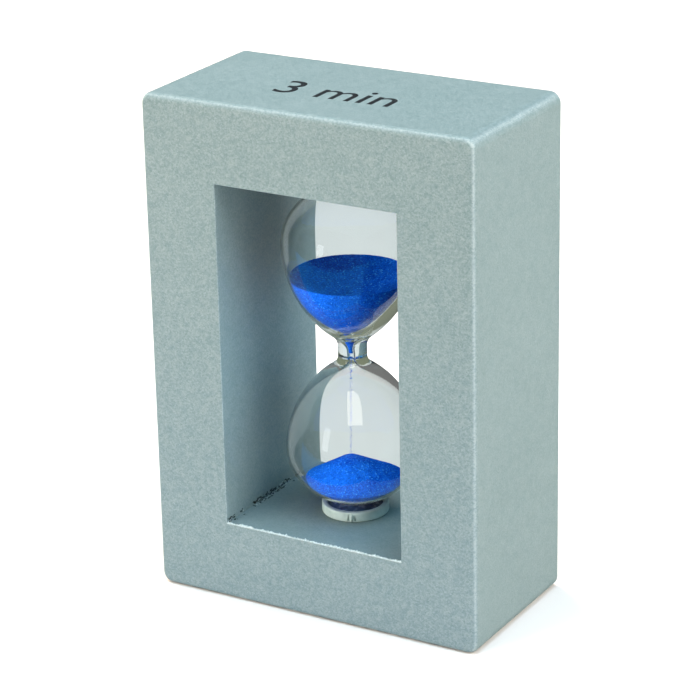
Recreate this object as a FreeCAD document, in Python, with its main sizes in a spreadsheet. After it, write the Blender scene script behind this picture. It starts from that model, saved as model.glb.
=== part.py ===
import FreeCAD, Part
import math
import os
import Sketcher

# A three-minute sand timer: a blown glass vial with two bulbs, held between two small cups
# in an open box frame of four mitred boards. Millimetres, +Z up. The origin is the middle of
# the underside, X runs across the front and the front looks along -Y.

# Driving dimensions: name, value and what it is.
DIMENSIONS = (
    ("frame_height", 100, "outside of the frame"),
    ("frame_width", 70, "outside of the frame"),
    ("frame_depth", 35, "width of the boards, front to back"),
    ("board_thickness", 15.8, "all four boards, sanded and painted"),
    ("corner_radius", 2.2, "outer corners of the frame, seen from the front"),
    ("edge_rounding", 1.2, "outer edges round the front and back faces"),
    ("window_rounding", 0.25, "inner edges round the window"),
    ("dowel_radius", 2, "dowels across the mitres"),
    ("dowel_length", 11, "dowels across the mitres"),
    ("dowel_chamfer", 0.4, "both ends of a dowel"),
    ("dowel_pitch", 17, "between the two dowels of a corner, front to back"),
    ("bore_clearance", 0.3, "left for glue past each end of a dowel"),
    ("vial_offset", -0.6, "how far the vial stands to the side of the middle"),
    ("waist_height", 48.9, "middle of the vial's neck"),
    ("waist_radius", 2.8, "outside of the neck"),
    ("waist_half_length", 0.9, "half of the neck's straight stretch"),
    ("lower_neck_bend", 2.2, "hollow bend from the neck to the lower bulb's shoulder"),
    ("upper_neck_bend", 3, "hollow bend from the neck to the upper bulb's shoulder"),
    ("bulb_radius", 13.2, "outside of a bulb at its widest"),
    ("lower_widest_height", 28.7, "widest part of the lower bulb"),
    ("upper_widest_height", 70.7, "widest part of the upper bulb"),
    ("dome_radius", 14, "outside of a bulb's closed end"),
    ("wall", 0.45, "glass thickness from a bulb's widest part to its closed end"),
    ("lower_inner_shoulder", 17.5, "inside of the lower bulb, where the glass thickens to the neck"),
    ("upper_inner_shoulder", 19.8, "inside of the upper bulb, where the glass thickens to the neck"),
    ("passage_radius", 0.5, "passage through the neck"),
    ("lower_funnel_bend", 2.6, "bend from the passage to the inside of the lower bulb"),
    ("upper_funnel_bend", 4, "bend from the passage to the inside of the upper bulb"),
    ("stub_radius", 2.4, "glass stub at each end of the vial"),
    ("stub_length", 1.2, "how far each end of the vial stands past its bulb"),
    ("stub_rounding", 0.6, "melted end of the sealed stub"),
    ("fill_bore_radius", 1.5, "opening that the sand went in through"),
    ("stopper_reach", 1.6, "how deep the stopper goes into the opening"),
    ("stopper_flange", 0.5, "thickness of the stopper's rim"),
    ("stopper_clearance", 0.03, "between the stopper and the opening"),
    ("cup_radius", 6.55, "outside of a seat cup"),
    ("cup_height", 2, "outside of a seat cup"),
    ("cup_wall", 1.15, "side of a seat cup"),
    ("cup_floor", 0.6, "bottom of a seat cup"),
    ("cup_rounding", 0.35, "rim and foot of a seat cup"),
    ("cup_turn", 23, "degrees from the front to the cup's moulding mark"),
    ("mark_width", 0.5, "each of the two notches of the moulding mark"),
    ("mark_foot", 0.4, "from the cup's foot to the notches of the moulding mark"),
    ("mark_height", 1.1, "each of the two notches of the moulding mark"),
    ("mark_spacing", 1.3, "between the two notches of the moulding mark"),
    ("mark_depth", 0.45, "each of the two notches of the moulding mark"),
    ("glue_edge", 1.3, "top of the glue at the cup's wall"),
    ("glue_middle", 1.9, "top of the glue at the glass stub"),
    ("sand_gap", 0.06, "between the sand and the glass"),
    ("rim_height", 64.3, "edge of the sand in the upper bulb"),
    ("crater_height", 58.6, "bottom of the crater in the upper sand"),
    ("crater_rounding", 1.0, "bottom of the crater in the upper sand"),
    ("heap_height", 27.35, "top of the heap in the lower bulb"),
    ("heap_edge_height", 22.6, "edge of the heap in the lower bulb"),
    ("heap_rounding", 4, "top of the heap"),
    ("plug_height", 48.6, "lower end of the sand that fills the passage"),
    ("stream_radius", 0.34, "column of falling sand"),
)

FIRST, LAST, CENTRE = 1, 2, 3
ORIGIN = (-1, 1)
LEVEL_AXIS = -1
UPRIGHT_AXIS = -2
FLAT_NORMAL = FreeCAD.Vector(0, 0, 1)

doc = FreeCAD.newDocument("sand_timer")
sheet = doc.addObject("Spreadsheet::Sheet", "sizes")
for row, (alias, number, meaning) in enumerate(DIMENSIONS, start=1):
    sheet.set(f"A{row}", alias)
    sheet.set(f"B{row}", str(number))
    sheet.setAlias(f"B{row}", alias)
    sheet.set(f"C{row}", meaning)
doc.recompute()

# Sizes worked out from the driving dimensions, as expressions.
HALF_HEIGHT = "sizes.frame_height / 2"
HALF_WIDTH = "sizes.frame_width / 2"
CEILING = "(sizes.frame_height - sizes.board_thickness)"
LOWER_END = "(sizes.board_thickness + sizes.cup_height)"
UPPER_END = f"({CEILING} - sizes.cup_height)"
OPEN_END = f"({UPPER_END} + sizes.stub_length - sizes.stopper_flange)"
SAND_INSET = "(sizes.wall + sizes.sand_gap)"

# The two bulbs, as the signs of their directions from the waist.
LOWER, UPPER = -1, 1
BULB = {LOWER: "lower", UPPER: "upper"}
END = {LOWER: LOWER_END, UPPER: UPPER_END}
TOLERANCE = 1e-6
DIAGONAL = math.sqrt(0.5)


def size(expression):
    """The number that an expression over the sheet comes to."""
    return float(sheet.evalExpression(expression))


def angle_of(run, rise):
    return math.degrees(math.atan2(rise, run))


class Outline:
    """A closed outline on one of a body's origin planes, held by constraints and bound sizes."""

    def __init__(self, body, role, name):
        planes = {feature.Role: feature for feature in body.Origin.OriginFeatures}
        self.sketch = body.newObject("Sketcher::SketchObject", name)
        self.sketch.AttachmentSupport = [(planes[role], "")]
        self.sketch.MapMode = "FlatFace"
        self.sizes = 0

    def line(self, start, end):
        segment = Part.LineSegment(FreeCAD.Vector(*start, 0), FreeCAD.Vector(*end, 0))
        index = self.sketch.addGeometry(segment)
        return (index, FIRST), (index, LAST)

    def arc(self, centre, radius, start, end):
        """An arc from one angle to another, in degrees, either way round."""
        circle = Part.Circle(FreeCAD.Vector(*centre, 0), FLAT_NORMAL, radius)
        low, high = sorted((math.radians(start), math.radians(end)))
        index = self.sketch.addGeometry(Part.ArcOfCircle(circle, low, high))
        if start < end:
            return (index, FIRST), (index, LAST)
        return (index, LAST), (index, FIRST)

    def hold(self, kind, *references):
        return self.sketch.addConstraint(Sketcher.Constraint(kind, *references))

    def join(self, one, other, smooth=False):
        """The end of one curve meets the start of the other, with no corner if smooth."""
        self.hold("Tangent" if smooth else "Coincident", *one[1], *other[0])

    def chain(self, curves):
        """Joins curves end to end with no corners."""
        for one, other in zip(curves, curves[1:]):
            self.join(one, other, smooth=True)

    def level(self, curve):
        self.hold("Horizontal", curve[0][0])

    def upright(self, curve):
        self.hold("Vertical", curve[0][0])

    def on_axis(self, point):
        self.hold("PointOnObject", *point, UPRIGHT_AXIS)

    def measure(self, kind, references, expression):
        """A size, bound to the sheet."""
        index = self.hold(kind, *references, size(expression))
        name = f"size_{self.sizes}"
        self.sizes += 1
        self.sketch.renameConstraint(index, name)
        self.sketch.setExpression(f"Constraints.{name}", expression)

    def across(self, point, expression):
        self.measure("DistanceX", (*ORIGIN, *point), expression)

    def up(self, point, expression):
        self.measure("DistanceY", (*ORIGIN, *point), expression)

    def radius(self, curve, expression):
        self.measure("Radius", (curve[0][0],), expression)


def centre_of(curve):
    return curve[0][0], CENTRE


def new_body(label):
    body = doc.addObject("PartDesign::Body", label)
    body.Label = label
    return body


def turn_about_axis(body, outline, name):
    """A full turn of an outline about the upright axis."""
    turned = body.newObject("PartDesign::Revolution", name)
    turned.Profile = outline.sketch
    turned.ReferenceAxis = (outline.sketch, ["V_Axis"])
    turned.Angle = 360
    outline.sketch.Visibility = False
    body.Tip = turned
    return turned


def stand_on_vial_axis(piece):
    piece.setExpression("Placement.Base.x", "sizes.vial_offset")


def round_edges(body, base, name, chosen, radius_alias):
    """Rounds the edges of base that the test picks."""
    names = [f"Edge{i}" for i, edge in enumerate(base.Shape.Edges, start=1) if chosen(edge)]
    fillet = body.newObject("PartDesign::Fillet", name)
    fillet.Base = (base, names)
    fillet.setExpression("Radius", f"sizes.{radius_alias}")
    body.Tip = fillet
    doc.recompute()
    return fillet


def board(label, half_length, half_span, tilt):
    """A mitred board of the frame. It is drawn as the top one, about the middle of the frame, and
    then turned about the Y axis. half_length is half its outer face and half_span is how far
    that face is from the middle."""
    body = new_body(label)
    outline = Outline(body, "XZ_Plane", f"{label}_outline")
    length, span = size(half_length), size(half_span)
    thickness, corner = size("sizes.board_thickness"), size("sizes.corner_radius")
    on_mitre = corner * DIAGONAL
    inner_length, inner_span = length - thickness, span - thickness
    top = outline.line((corner - length, span), (length - corner, span))
    bottom = outline.line((inner_length, inner_span), (-inner_length, inner_span))
    for side, end, start in ((1, top[1], bottom[0]), (-1, top[0], bottom[1])):
        centre = (side * (length - corner), span - corner)
        middle = 90 - side * 45
        rounded = outline.arc(centre, corner, 90, middle)
        tip = (centre[0] + side * on_mitre, centre[1] + on_mitre)
        mitre = outline.line(tip, (side * inner_length, inner_span))
        outline.hold("Tangent", *end, *rounded[0])
        outline.join(rounded, mitre)
        outline.hold("Coincident", *mitre[1], *start)
        outline.hold("PointOnObject", *centre_of(rounded), mitre[0][0])
        outline.radius(rounded, "sizes.corner_radius")
    outline.hold("Symmetric", *top[0], *top[1], UPRIGHT_AXIS)
    outline.hold("Symmetric", *bottom[0], *bottom[1], UPRIGHT_AXIS)
    outline.across(top[1], f"{half_length} - sizes.corner_radius")
    outline.up(top[1], half_span)
    outline.up(bottom[0], f"{half_span} - sizes.board_thickness")
    outline.across(bottom[0], f"{half_length} - sizes.board_thickness")
    pad = body.newObject("PartDesign::Pad", f"{label}_blank")
    pad.Profile = outline.sketch
    pad.SideType = "Symmetric"
    pad.setExpression("Length", "sizes.frame_depth")
    body.Tip = pad
    doc.recompute()

    half_depth = size("sizes.frame_depth") / 2

    def on_front_or_back(edge):
        middle = edge.CenterOfMass
        return abs(abs(middle.y) - half_depth) < TOLERANCE

    def outer(edge):
        middle = edge.CenterOfMass
        return on_front_or_back(edge) and middle.z > span - corner

    def inner(edge):
        middle = edge.CenterOfMass
        return on_front_or_back(edge) and abs(middle.z - inner_span) < TOLERANCE

    base = round_edges(body, pad, f"{label}_outer_edges", outer, "edge_rounding")
    base = round_edges(body, base, f"{label}_window_edges", inner, "window_rounding")
    bore_dowel_holes(body, half_length, half_span)
    body.Placement.Rotation = FreeCAD.Rotation(FreeCAD.Vector(0, 1, 0), tilt)
    body.setExpression("Placement.Base.z", HALF_HEIGHT)
    return body


def bore_dowel_holes(body, half_length, half_span):
    """Two blind bores square to each mitre face of a board."""
    mitre_x = f"({half_length} - sizes.board_thickness / 2)"
    for side, side_name in ((1, "right"), (-1, "left")):
        for depth_side, depth_name in ((1, "back"), (-1, "front")):
            name = f"{body.Label}_bore_{side_name}_{depth_name}"
            bore = body.newObject("PartDesign::SubtractiveCylinder", name)
            bore.setExpression("Radius", "sizes.dowel_radius")
            bore.setExpression("Height", "sizes.dowel_length / 2 + sizes.bore_clearance")
            bore.Placement.Rotation = FreeCAD.Rotation(FreeCAD.Vector(0, 1, 0), -45 * side)
            bore.setExpression("Placement.Base.x", f"{side} * {mitre_x}")
            bore.setExpression("Placement.Base.y", f"{depth_side} * sizes.dowel_pitch / 2")
            bore.setExpression("Placement.Base.z", f"{half_span} - sizes.board_thickness / 2")
            body.Tip = bore
    doc.recompute()


def dowel(number, side, level, depth_side):
    """A chamfered dowel square across the mitre of one corner."""
    rod = doc.addObject("Part::Cylinder", f"dowel_rod_{number}")
    rod.setExpression("Radius", "sizes.dowel_radius")
    rod.setExpression("Height", "sizes.dowel_length")
    slant = FreeCAD.Vector(side, 0, -level) * DIAGONAL
    rod.Placement.Rotation = FreeCAD.Rotation(FLAT_NORMAL, slant)
    reach = f"sizes.dowel_length / 2 * {DIAGONAL}"
    centre_x = f"({HALF_WIDTH} - sizes.board_thickness / 2)"
    centre_z = f"({HALF_HEIGHT} - sizes.board_thickness / 2)"
    rod.setExpression("Placement.Base.x", f"{side} * ({centre_x} - {reach})")
    rod.setExpression("Placement.Base.y", f"{depth_side} * sizes.dowel_pitch / 2")
    rod.setExpression("Placement.Base.z", f"{HALF_HEIGHT} + {level} * ({centre_z} + {reach})")
    doc.recompute()
    chamfer = size("sizes.dowel_chamfer")
    rims = []
    for index, edge in enumerate(rod.Shape.Edges, start=1):
        if edge.Closed and isinstance(edge.Curve, Part.Circle):
            rims.append((index, chamfer, chamfer))
    chamfered = doc.addObject("Part::Chamfer", f"dowel_{number}")
    chamfered.Base = rod
    chamfered.Edges = rims
    return chamfered


def corner_dowels():
    """Eight dowels, two square across each mitre."""
    dowels = []
    for side in (1, -1):
        for level in (1, -1):
            for depth_side in (1, -1):
                dowels.append(dowel(len(dowels) + 1, side, level, depth_side))
    group = doc.addObject("Part::Compound", "corner_dowels")
    group.Label = "corner_dowels"
    group.Links = dowels
    return group


def bulb_side(outline, side, waist):
    """The outside of one bulb, from the waist line's end to its dome."""
    widest_height = f"sizes.{BULB[side]}_widest_height"
    neck_bend = f"sizes.{BULB[side]}_neck_bend"
    neck, bulb, bend = size("sizes.waist_radius"), size("sizes.bulb_radius"), size(neck_bend)
    dome, stub = size("sizes.dome_radius"), size("sizes.stub_radius")
    bend_at = (neck + bend, size(f"sizes.waist_height + {side} * sizes.waist_half_length"))
    flare, run = bulb - neck, side * (size(widest_height) - bend_at[1])
    shoulder = (run**2 + flare**2) / (2 * flare) - bend
    shoulder_at = (bulb - shoulder, size(widest_height))
    dome_at = (0, size(END[side]) - side * dome)
    drop = side * (dome_at[1] - shoulder_at[1])
    widest = (dome**2 - bulb**2 - drop**2) / (2 * (dome - bulb))
    widest_at = (bulb - widest, shoulder_at[1])
    lean = angle_of(shoulder_at[0] - bend_at[0], side * (shoulder_at[1] - bend_at[1]))
    turn = angle_of(widest_at[0], side * (widest_at[1] - dome_at[1]))
    stop = math.degrees(math.acos(stub / dome))
    curves = [
        outline.arc(bend_at, bend, side * 180, side * lean),
        outline.arc(shoulder_at, shoulder, side * (lean - 180), 0),
        outline.arc(widest_at, widest, 0, side * turn),
        outline.arc(dome_at, dome, side * turn, side * stop),
    ]
    outline.hold("Tangent", *waist, *curves[0][0])
    outline.chain(curves)
    outline.radius(curves[0], neck_bend)
    outline.across(curves[1][1], "sizes.bulb_radius")
    outline.up(curves[1][1], widest_height)
    outline.hold("Horizontal", *centre_of(curves[1]), *curves[1][1])
    outline.on_axis(centre_of(curves[3]))
    outline.up(centre_of(curves[3]), f"{END[side]} - {side} * sizes.dome_radius")
    outline.radius(curves[3], "sizes.dome_radius")
    return curves


def inner_shoulder(side, gap):
    """The inside of a bulb's shoulder and the bend below it, a gap inside the glass: the passage's
    radius, then the centre and radius of the bend and of the shoulder."""
    bend = size(f"sizes.{BULB[side]}_funnel_bend")
    shoulder = size(f"sizes.{BULB[side]}_inner_shoulder")
    space = size(gap)
    bend_x = size("sizes.passage_radius") + bend
    centre = (size("sizes.bulb_radius - sizes.wall") - shoulder, size(f"sizes.{BULB[side]}_widest_height"))
    rise = math.sqrt((shoulder + bend) ** 2 - (bend_x - centre[0]) ** 2)
    bend_at = (bend_x, centre[1] - side * rise)
    return bend_x - bend - space, bend_at, bend + space, centre, shoulder - space


def funnel(outline, side, passage, gap, stop):
    """The bend out of the neck's passage and the shoulder next to it, a gap inside the glass. stop
    is the angle that the shoulder ends at, seen from its centre."""
    _, bend_at, bend, shoulder_at, radius = inner_shoulder(side, gap)
    lean = angle_of(shoulder_at[0] - bend_at[0], side * (shoulder_at[1] - bend_at[1]))
    curves = [
        outline.arc(bend_at, bend, side * 180, side * lean),
        outline.arc(shoulder_at, radius, side * (lean - 180), stop),
    ]
    outline.hold("Tangent", *passage, *curves[0][0])
    outline.chain(curves)
    outline.radius(curves[0], f"sizes.{BULB[side]}_funnel_bend + {gap}")
    outline.radius(curves[1], f"sizes.{BULB[side]}_inner_shoulder - {gap}")
    return curves


def inside_of(outline, side, passage, outside, dome_stop):
    """The inside of one bulb: the funnel, then two arcs a wall's thickness inside the outside's.
    dome_stop is the angle that the dome ends at, or None where it ends as the outside does."""
    curves = funnel(outline, side, passage, "0", 0)
    outline.across(curves[1][1], "sizes.bulb_radius - sizes.wall")
    outline.up(curves[1][1], f"sizes.{BULB[side]}_widest_height")
    for shell, stop in ((outside[2], None), (outside[3], dome_stop)):
        drawn = outline.sketch.Geometry[shell[0][0]]
        centre = (drawn.Center.x, drawn.Center.y)
        ends = []
        for corner in shell:
            point = outline.sketch.getPoint(*corner)
            ends.append(angle_of(point.x - centre[0], point.y - centre[1]))
        if stop is not None:
            ends[1] = side * stop
        inside = outline.arc(centre, drawn.Radius - size("sizes.wall"), *ends)
        outline.hold("Coincident", *centre_of(inside), *centre_of(shell))
        curves.append(inside)
    outline.chain(curves[1:])
    return curves


def glass_vial():
    """The vial: one wall turned about its axis, open at the top where the sand went in and sealed
    with a solid stub at the bottom."""
    body = new_body("glass_vial")
    outline = Outline(body, "XZ_Plane", "vial_outline")
    waist_z, neck = size("sizes.waist_height"), size("sizes.waist_radius")
    half = size("sizes.waist_half_length")
    waist = outline.line((neck, waist_z - half), (neck, waist_z + half))
    outline.upright(waist)
    outline.across(waist[0], "sizes.waist_radius")
    outline.up(waist[0], "sizes.waist_height - sizes.waist_half_length")
    outline.up(waist[1], "sizes.waist_height + sizes.waist_half_length")
    lower = bulb_side(outline, LOWER, waist[0])
    upper = bulb_side(outline, UPPER, waist[1])

    # the passage and the inside of both bulbs
    radius, upper_bend, *_ = inner_shoulder(UPPER, "0")
    _, lower_bend, *_ = inner_shoulder(LOWER, "0")
    passage = outline.line((radius, lower_bend[1]), (radius, upper_bend[1]))
    outline.upright(passage)
    outline.across(passage[0], "sizes.passage_radius")
    lower_inside = inside_of(outline, LOWER, passage[0], lower, 90)
    upper_inside = inside_of(outline, UPPER, passage[1], upper, None)

    # the sealed stub below
    stub, rounding = size("sizes.stub_radius"), size("sizes.stub_rounding")
    foot_z = size(f"{LOWER_END} - sizes.stub_length")
    dome_end = outline.sketch.getPoint(*lower[3][1])
    side_line = outline.line((stub, dome_end.y), (stub, foot_z + rounding))
    melted = outline.arc((stub - rounding, foot_z + rounding), rounding, 0, -90)
    foot = outline.line((stub - rounding, foot_z), (0, foot_z))
    outline.join(lower[3], side_line)
    outline.upright(side_line)
    outline.across(side_line[0], "sizes.stub_radius")
    outline.chain([side_line, melted, foot])
    outline.radius(melted, "sizes.stub_rounding")
    outline.level(foot)
    outline.on_axis(foot[1])
    outline.up(foot[1], f"{LOWER_END} - sizes.stub_length")
    bottom = outline.sketch.getPoint(*lower_inside[3][1])
    core = outline.line((0, foot_z), (0, bottom.y))
    outline.join(foot, core)
    outline.upright(core)
    outline.hold("Coincident", *core[1], *lower_inside[3][1])

    # the open stub above
    rim_z = size(OPEN_END)
    opening = size("sizes.fill_bore_radius")
    dome_end = outline.sketch.getPoint(*upper[3][1])
    inner_end = outline.sketch.getPoint(*upper_inside[3][1])
    collar = outline.line((stub, dome_end.y), (stub, rim_z))
    rim = outline.line((stub, rim_z), (opening, rim_z))
    bore = outline.line((opening, rim_z), (opening, inner_end.y))
    outline.join(upper[3], collar)
    outline.join(collar, rim)
    outline.join(rim, bore)
    outline.hold("Coincident", *bore[1], *upper_inside[3][1])
    outline.upright(collar)
    outline.level(rim)
    outline.upright(bore)
    outline.across(rim[0], "sizes.stub_radius")
    outline.across(rim[1], "sizes.fill_bore_radius")
    outline.up(rim[0], OPEN_END)
    turn_about_axis(body, outline, "vial_glass")
    stand_on_vial_axis(body)
    return body


def tangent_angle(centre_z, radius, point, side):
    """Where a line from a point touches a circle on the axis, above it (1) or below it (-1)."""
    run, rise = point[0], point[1] - centre_z
    return angle_of(run, rise) + side * math.degrees(math.acos(radius / math.hypot(run, rise)))


def slope(outline, edge, side, height, rounding):
    """The open surface of the sand, from the glass in to a rounded middle on the axis: a heap (1)
    or a crater (-1)."""
    radius = size(rounding)
    centre_z = size(f"{height} - {side} * {rounding}")
    touch = tangent_angle(centre_z, radius, edge, side)
    bearing = math.radians(touch)
    meeting = (radius * math.cos(bearing), centre_z + radius * math.sin(bearing))
    flank = outline.line(edge, meeting)
    middle = outline.arc((0, centre_z), radius, touch, side * 90)
    outline.join(flank, middle, smooth=True)
    outline.radius(middle, rounding)
    outline.on_axis(centre_of(middle))
    outline.on_axis(middle[1])
    outline.up(middle[1], height)
    return flank, middle


def upper_sand():
    """The sand still in the upper bulb, with a crater over the neck and a plug in the passage."""
    body = new_body("upper_sand")
    outline = Outline(body, "XZ_Plane", "upper_sand_outline")
    passage, bend_at, _, shoulder_at, radius = inner_shoulder(UPPER, "sizes.sand_gap")
    end_z = size("sizes.plug_height")
    rim_z = size("sizes.rim_height")
    stop = math.degrees(math.asin((rim_z - shoulder_at[1]) / radius))
    rim = (shoulder_at[0] + radius * math.cos(math.radians(stop)), rim_z)
    end = outline.line((0, end_z), (passage, end_z))
    plug = outline.line((passage, end_z), (passage, bend_at[1]))
    outline.join(end, plug)
    outline.level(end)
    outline.upright(plug)
    outline.up(end[1], "sizes.plug_height")
    outline.across(end[1], "sizes.passage_radius - sizes.sand_gap")
    curves = funnel(outline, UPPER, plug[1], "sizes.sand_gap", stop)
    shoulder_x = "sizes.bulb_radius - sizes.wall - sizes.upper_inner_shoulder"
    outline.across(centre_of(curves[1]), shoulder_x)
    outline.up(centre_of(curves[1]), "sizes.upper_widest_height")
    outline.up(curves[1][1], "sizes.rim_height")
    flank, middle = slope(outline, rim, -1, "sizes.crater_height", "sizes.crater_rounding")
    outline.join(curves[1], flank)
    core = outline.line((0, size("sizes.crater_height")), (0, end_z))
    outline.join(middle, core)
    outline.join(core, end)
    outline.upright(core)
    turn_about_axis(body, outline, "upper_sand_fill")
    stand_on_vial_axis(body)
    return body


def lower_sand():
    """The heap of sand on the floor of the lower bulb."""
    body = new_body("lower_sand")
    outline = Outline(body, "XZ_Plane", "lower_sand_outline")
    radius = size(f"sizes.dome_radius - {SAND_INSET}")
    centre_z = size(f"{LOWER_END} + sizes.dome_radius")
    edge_z = size("sizes.heap_edge_height")
    stop = math.degrees(math.asin((edge_z - centre_z) / radius))
    edge = (radius * math.cos(math.radians(stop)), edge_z)
    floor = outline.arc((0, centre_z), radius, -90, stop)
    outline.on_axis(centre_of(floor))
    outline.on_axis(floor[0])
    outline.up(centre_of(floor), f"{LOWER_END} + sizes.dome_radius")
    outline.radius(floor, f"sizes.dome_radius - {SAND_INSET}")
    outline.up(floor[1], "sizes.heap_edge_height")
    flank, middle = slope(outline, edge, 1, "sizes.heap_height", "sizes.heap_rounding")
    outline.join(floor, flank)
    core = outline.line((0, size("sizes.heap_height")), (0, centre_z - radius))
    outline.join(middle, core)
    outline.join(core, floor)
    turn_about_axis(body, outline, "lower_sand_fill")
    stand_on_vial_axis(body)
    return body


def cylinder(name, radius, bottom, top):
    """An upright cylinder on the vial's axis."""
    rod = doc.addObject("Part::Cylinder", name)
    rod.Label = name
    rod.setExpression("Radius", radius)
    rod.setExpression("Height", f"{top} - {bottom}")
    rod.setExpression("Placement.Base.z", bottom)
    stand_on_vial_axis(rod)
    return rod


def falling_sand():
    """The thin column of sand between the neck and the heap."""
    bottom = "(sizes.heap_height + sizes.sand_gap)"
    top = "(sizes.plug_height - sizes.sand_gap)"
    return cylinder("falling_sand", "sizes.stream_radius", bottom, top)


def fill_stopper():
    """The plug in the vial's opening, with a rim that rests on the glass."""
    rim_top = f"({OPEN_END} + sizes.stopper_flange)"
    plug = cylinder(
        "stopper_plug",
        "sizes.fill_bore_radius - sizes.stopper_clearance",
        f"({OPEN_END} - sizes.stopper_reach)",
        rim_top,
    )
    rim = cylinder("stopper_rim", "sizes.stub_radius", OPEN_END, rim_top)
    stopper = doc.addObject("Part::MultiFuse", "fill_stopper")
    stopper.Label = "fill_stopper"
    stopper.Shapes = [plug, rim]
    return stopper


def polygon(outline, corners):
    """Straight sides between corners, each corner's place given as two expressions."""
    points = [(size(run), size(rise)) for run, rise in corners]
    sides = [outline.line(start, end) for start, end in zip(points, points[1:] + points[:1])]
    for one, other in zip(sides, sides[1:] + sides[:1]):
        outline.join(one, other)
    for side, (run, rise) in zip(sides, corners):
        if run == "0":
            outline.on_axis(side[0])
        else:
            outline.across(side[0], run)
        if rise == "0":
            outline.hold("PointOnObject", *side[0], LEVEL_AXIS)
        else:
            outline.up(side[0], rise)


def set_on_board(body, upside_down, turn):
    """Stands a piece on the bottom board, or hangs it from the top one."""
    spin = FreeCAD.Rotation(FLAT_NORMAL, turn)
    if upside_down:
        spin = FreeCAD.Rotation(FreeCAD.Vector(1, 0, 0), 180) * spin
    body.Placement.Rotation = spin
    body.setExpression("Placement.Base.z", CEILING if upside_down else "sizes.board_thickness")
    stand_on_vial_axis(body)


def seat_cup(label, upside_down):
    """A shallow plastic cup that takes one end of the vial, with a moulding mark of two notches."""
    body = new_body(label)
    outline = Outline(body, "XZ_Plane", f"{label}_outline")
    inside = "sizes.cup_radius - sizes.cup_wall"
    polygon(outline, [
        ("0", "0"),
        ("sizes.cup_radius", "0"),
        ("sizes.cup_radius", "sizes.cup_height"),
        (inside, "sizes.cup_height"),
        (inside, "sizes.cup_floor"),
        ("0", "sizes.cup_floor"),
    ])
    blank = turn_about_axis(body, outline, f"{label}_blank")
    doc.recompute()
    height, radius = size("sizes.cup_height"), size("sizes.cup_radius")

    def on_rim_or_foot(edge):
        if not (edge.Closed and isinstance(edge.Curve, Part.Circle)):
            return False
        on_rim = abs(edge.CenterOfMass.z - height) < TOLERANCE
        on_foot = abs(edge.CenterOfMass.z) < TOLERANCE and abs(edge.Curve.Radius - radius) < TOLERANCE
        return on_rim or on_foot

    rounded = round_edges(body, blank, f"{label}_edges", on_rim_or_foot, "cup_rounding")
    before = rounded.Shape.Volume
    mark = Outline(body, "XZ_Plane", f"{label}_mark_outline")
    mark.sketch.setExpression("AttachmentOffset.Base.z", "sizes.cup_radius - sizes.mark_depth")
    for side in (-1, 1):
        middle = f"{side} * sizes.mark_spacing / 2"
        polygon(mark, [
            (f"{middle} - sizes.mark_width / 2", "sizes.mark_foot"),
            (f"{middle} + sizes.mark_width / 2", "sizes.mark_foot"),
            (middle, "sizes.mark_foot + sizes.mark_height"),
        ])
    notches = body.newObject("PartDesign::Pocket", f"{label}_mark")
    notches.Profile = mark.sketch
    notches.Type = "ThroughAll"
    notches.Reversed = True
    body.Tip = notches
    doc.recompute()
    cut = before - notches.Shape.Volume
    most = size("2 * sizes.mark_width * sizes.mark_height * sizes.cup_wall")
    if not 0 < cut < most:
        raise RuntimeError(f"the moulding mark of {label} isn't cut as meant")
    set_on_board(body, upside_down, size("sizes.cup_turn"))
    return body


def cup_glue(label, upside_down):
    """The set glue in a cup, round and under the end of the vial."""
    body = new_body(label)
    outline = Outline(body, "XZ_Plane", f"{label}_outline")
    wall = "sizes.cup_radius - sizes.cup_wall"
    under = "sizes.cup_height - sizes.stub_length"
    polygon(outline, [
        ("0", "sizes.cup_floor"),
        (wall, "sizes.cup_floor"),
        (wall, "sizes.glue_edge"),
        ("sizes.stub_radius", "sizes.glue_middle"),
        ("sizes.stub_radius", under),
        ("0", under),
    ])
    turn_about_axis(body, outline, f"{label}_ring")
    set_on_board(body, upside_down, 0)
    return body


def check(pieces):
    """Stops if any object failed or any piece isn't a sound shape."""
    for item in doc.Objects:
        if "Invalid" in item.State or "Error" in item.State:
            raise RuntimeError(f"{item.Name} is {item.State}")
        if item.TypeId == "Sketcher::SketchObject" and not item.FullyConstrained:
            raise RuntimeError(f"{item.Name} isn't fully constrained")
    for piece in pieces:
        if piece.Shape.isNull() or not piece.Shape.isValid():
            raise RuntimeError(f"{piece.Label} has no valid shape")


pieces = [
    board("top_board", HALF_WIDTH, HALF_HEIGHT, 0),
    board("bottom_board", HALF_WIDTH, HALF_HEIGHT, 180),
    board("right_board", HALF_HEIGHT, HALF_WIDTH, 90),
    board("left_board", HALF_HEIGHT, HALF_WIDTH, -90),
    corner_dowels(),
    glass_vial(),
    fill_stopper(),
    upper_sand(),
    falling_sand(),
    lower_sand(),
    seat_cup("lower_seat_cup", upside_down=False),
    seat_cup("upper_seat_cup", upside_down=True),
    cup_glue("lower_cup_glue", upside_down=False),
    cup_glue("upper_cup_glue", upside_down=True),
]
doc.recompute()
check(pieces)
os.makedirs("parts", exist_ok=True)
for piece in pieces:
    piece.Shape.exportStep(f"parts/{piece.Label}.step")
    print(f"{piece.Label}: {len(piece.Shape.Solids)} solid, {piece.Shape.Volume:.1f} mm3")
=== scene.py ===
import math
import random

import bpy
import numpy as np
from mathutils import Matrix, Vector, noise


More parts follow.
